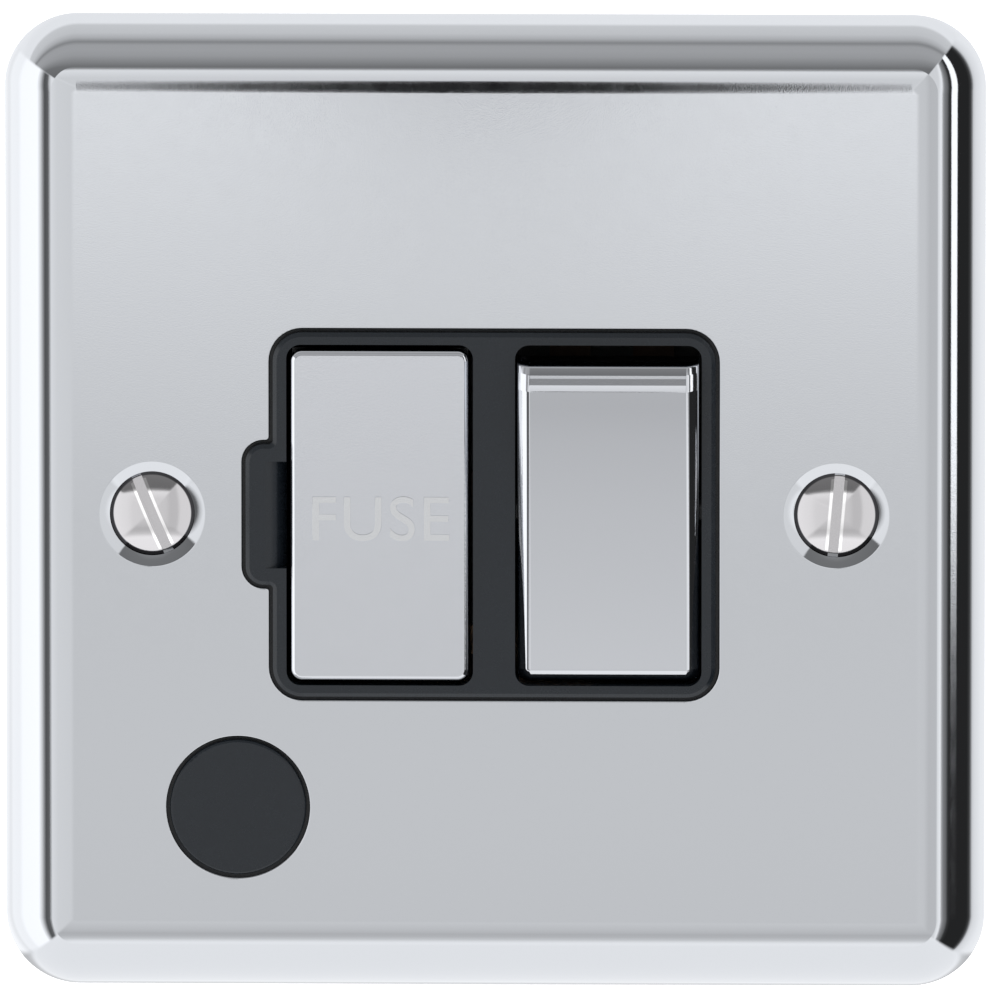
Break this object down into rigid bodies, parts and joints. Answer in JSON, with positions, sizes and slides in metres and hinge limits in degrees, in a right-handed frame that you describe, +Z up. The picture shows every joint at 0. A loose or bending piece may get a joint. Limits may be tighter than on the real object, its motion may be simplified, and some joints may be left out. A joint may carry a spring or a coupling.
{
  "type": "fused spur unit",
  "caption": "Square chrome wall plate with a black insert holding a pull-out fuse carrier and a rocker switch, a blanked cord outlet below, and a deep wiring base behind.",
  "frame": {"origin": "middle of the wall plane, on the line through the two fixing screws", "axes": "+X right as seen from the front, +Y into the wall, +Z up; the face looks along -Y"},
  "size_m": [0.0864, 0.0327, 0.0865],
  "materials": {
    "polished_plate": "polished chrome plate on pressed steel",
    "polished_cap": "polished chrome plate on moulded caps",
    "polished_screw": "polished chrome plate on turned screws",
    "plated_steel": "bright zinc plated steel",
    "brass": "plain turned and tapped brass",
    "copper_alloy": "rolled phosphor bronze and copper strip",
    "spring_steel": "drawn spring wire",
    "fuse_metal": "nickel plated pressed cup",
    "fuse_ceramic": "unglazed pale ceramic",
    "black_plastic": "satin moulded thermoset, near black",
    "base_plastic": "satin moulded urea, dark grey",
    "plunger_plastic": "moulded nylon, natural"
  },
  "bodies": {
    "housing": {"front_plate": "polished_plate", "plate_pillars": "plated_steel", "earth_stud": "plated_steel", "earth_stud_nut": "brass", "fixing_screw_left": "polished_screw", "fixing_screw_right": "polished_screw", "insert_moulding": "black_plastic", "base_moulding": "base_plastic", "housing_screws": "plated_steel", "flex_outlet_blank": "black_plastic", "cord_grip_bar": "base_plastic", "cord_grip_screws": "plated_steel", "fuse_clip_upper": "copper_alloy", "fuse_clip_lower": "copper_alloy", "supply_contact_line": "copper_alloy", "supply_contact_neutral": "copper_alloy", "pivot_post_line": "copper_alloy", "pivot_post_neutral": "copper_alloy", "load_link": "copper_alloy", "supply_terminal_line": "brass", "supply_terminal_neutral": "brass", "load_terminal_line": "brass", "load_terminal_neutral": "brass", "earth_terminal": "brass", "terminal_screws": "plated_steel", "earth_strap": "copper_alloy"},
    "fuse_drawer": {"fuse_carrier": "black_plastic", "fuse_carrier_cap": "polished_cap", "fuse_tube": "fuse_ceramic", "fuse_end_cap_upper": "fuse_metal", "fuse_end_cap_lower": "fuse_metal"},
    "rocker_body": {"rocker": "black_plastic", "rocker_cap": "polished_cap", "plunger_spring_line": "spring_steel", "plunger_spring_neutral": "spring_steel"},
    "line_plunger": {"plunger_line": "plunger_plastic"},
    "neutral_plunger": {"plunger_neutral": "plunger_plastic"},
    "line_contact": {"rocking_contact_line": "copper_alloy"},
    "neutral_contact": {"rocking_contact_neutral": "copper_alloy"}
  },
  "joints": [
    {"name": "fuse_carrier_slide", "type": "slide", "parent": "housing", "child": "fuse_drawer", "axis": [0, -1, 0], "range_m": [0, 0.01]},
    {"name": "rocker_hinge", "type": "hinge", "parent": "housing", "child": "rocker_body", "pos_m": [0.01007, -0.0006, 0], "axis": [1, 0, 0], "range_deg": [-13, 0]},
    {"name": "line_plunger_slide", "type": "slide", "parent": "rocker_body", "child": "line_plunger", "axis": [0, -0.9936, -0.1132], "range_m": [0, 0.0008], "stiffness_N_per_m": 400, "springref_m": -0.003, "deforming": ["plunger_spring_line"]},
    {"name": "neutral_plunger_slide", "type": "slide", "parent": "rocker_body", "child": "neutral_plunger", "axis": [0, -0.9936, -0.1132], "range_m": [0, 0.0008], "stiffness_N_per_m": 400, "springref_m": -0.003, "deforming": ["plunger_spring_neutral"]},
    {"name": "line_contact_hinge", "type": "hinge", "parent": "housing", "child": "line_contact", "pos_m": [0.00637, 0.00962, 0], "axis": [1, 0, 0], "range_deg": [0, 20]},
    {"name": "neutral_contact_hinge", "type": "hinge", "parent": "housing", "child": "neutral_contact", "pos_m": [0.01378, 0.00962, 0], "axis": [1, 0, 0], "range_deg": [0, 20]}
  ],
  "couplings": [
    {"joint": "line_contact_hinge", "follows": "rocker_hinge", "ratio": -1.5385},
    {"joint": "neutral_contact_hinge", "follows": "rocker_hinge", "ratio": -1.5385}
  ]
}
